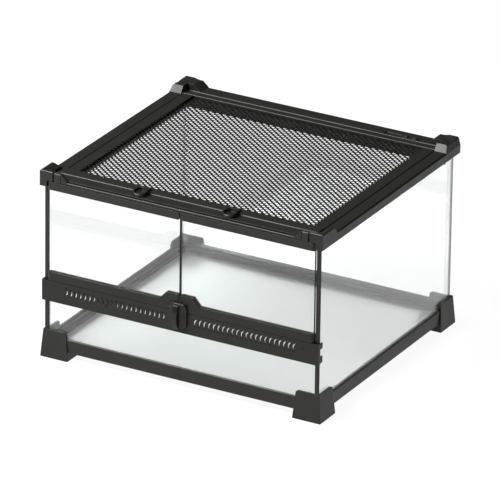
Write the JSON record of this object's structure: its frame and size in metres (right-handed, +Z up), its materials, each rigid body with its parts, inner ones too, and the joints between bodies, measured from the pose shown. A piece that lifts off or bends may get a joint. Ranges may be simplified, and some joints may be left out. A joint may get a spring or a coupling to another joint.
{
  "type": "reptile terrarium",
  "caption": "Low front-opening glass terrarium: two hinged glass doors over a vent strip with a turn knob, hinged mesh lid with slide clips, cable gate and corner feet.",
  "frame": {"origin": "on the floor, in the middle of the overall footprint, knob included", "axes": "+X to the right, +Y to the back, +Z up; the doors face -Y"},
  "size_m": [0.315, 0.294, 0.2],
  "materials": {
    "frame_plastic": "satin black moulded plastic with a fine grain",
    "knob_plastic": "satin black moulded plastic, slightly glossier on the thumb faces",
    "pane_glass": "clear float glass with ground edges",
    "floor_pane": "pale float glass floor with a satin underside",
    "silicone": "clear silicone bead",
    "edge_seal": "black edge strip",
    "pin_steel": "plain steel pins",
    "mesh_wire": "black coated expanded metal"
  },
  "bodies": {
    "tank": {"base_rail_front": "frame_plastic", "base_rail_rear": "frame_plastic", "base_rail_left": "frame_plastic", "base_rail_right": "frame_plastic", "foot_front_left": "frame_plastic", "foot_front_right": "frame_plastic", "foot_rear_left": "frame_plastic", "foot_rear_right": "frame_plastic", "front_post_left": "frame_plastic", "front_post_right": "frame_plastic", "top_beam_front": "frame_plastic", "top_rail_rear": "frame_plastic", "top_rail_left": "frame_plastic", "top_rail_right": "frame_plastic", "corner_front_left": "frame_plastic", "corner_front_right": "frame_plastic", "corner_rear_left": "frame_plastic", "corner_rear_right": "frame_plastic", "vent_strip": "frame_plastic", "floor_glass": "floor_pane", "side_glass_left": "pane_glass", "side_glass_right": "pane_glass", "rear_glass": "pane_glass", "front_glass_lower": "pane_glass", "rear_seal_left": "silicone", "rear_seal_right": "silicone"},
    "gate": {"cable_gate": "frame_plastic"},
    "left_door": {"left_door_glass": "pane_glass", "left_door_top_rail": "frame_plastic", "left_door_bottom_rail": "frame_plastic", "left_door_pins": "pin_steel", "left_door_edge_seal": "edge_seal"},
    "right_door": {"right_door_glass": "pane_glass", "right_door_top_rail": "frame_plastic", "right_door_bottom_rail": "frame_plastic", "right_door_pins": "pin_steel", "right_door_edge_seal": "edge_seal"},
    "knob": {"latch_knob": "knob_plastic", "knob_retainer": "pin_steel"},
    "lid": {"lid_rail_front": "frame_plastic", "lid_rail_rear": "frame_plastic", "lid_rail_left": "frame_plastic", "lid_rail_right": "frame_plastic", "lid_mesh": "mesh_wire", "lid_hinge_pins": "pin_steel"},
    "left_clip": {"lid_clip_left": "knob_plastic"},
    "right_clip": {"lid_clip_right": "knob_plastic"}
  },
  "joints": [
    {"name": "left_door_hinge", "type": "hinge", "parent": "tank", "child": "left_door", "pos_m": [-0.1456, -0.1335, 0.14], "axis": [0, 0, -1], "range_deg": [0, 95]},
    {"name": "right_door_hinge", "type": "hinge", "parent": "tank", "child": "right_door", "pos_m": [0.1456, -0.1335, 0.14], "axis": [0, 0, 1], "range_deg": [0, 95]},
    {"name": "knob_turn", "type": "hinge", "parent": "tank", "child": "knob", "pos_m": [0, -0.139, 0.0805], "axis": [0, 1, 0], "range_deg": [0, 90]},
    {"name": "lid_hinge", "type": "hinge", "parent": "tank", "child": "lid", "pos_m": [0, 0.1255, 0.19], "axis": [-1, 0, 0], "range_deg": [0, 80]},
    {"name": "left_clip_slide", "type": "slide", "parent": "lid", "child": "left_clip", "axis": [0, -1, 0], "range_m": [0, 0.0046]},
    {"name": "right_clip_slide", "type": "slide", "parent": "lid", "child": "right_clip", "axis": [0, -1, 0], "range_m": [0, 0.0046]},
    {"name": "gate_slide", "type": "slide", "parent": "tank", "child": "gate", "axis": [-1, 0, 0], "range_m": [0, 0.018]}
  ]
}
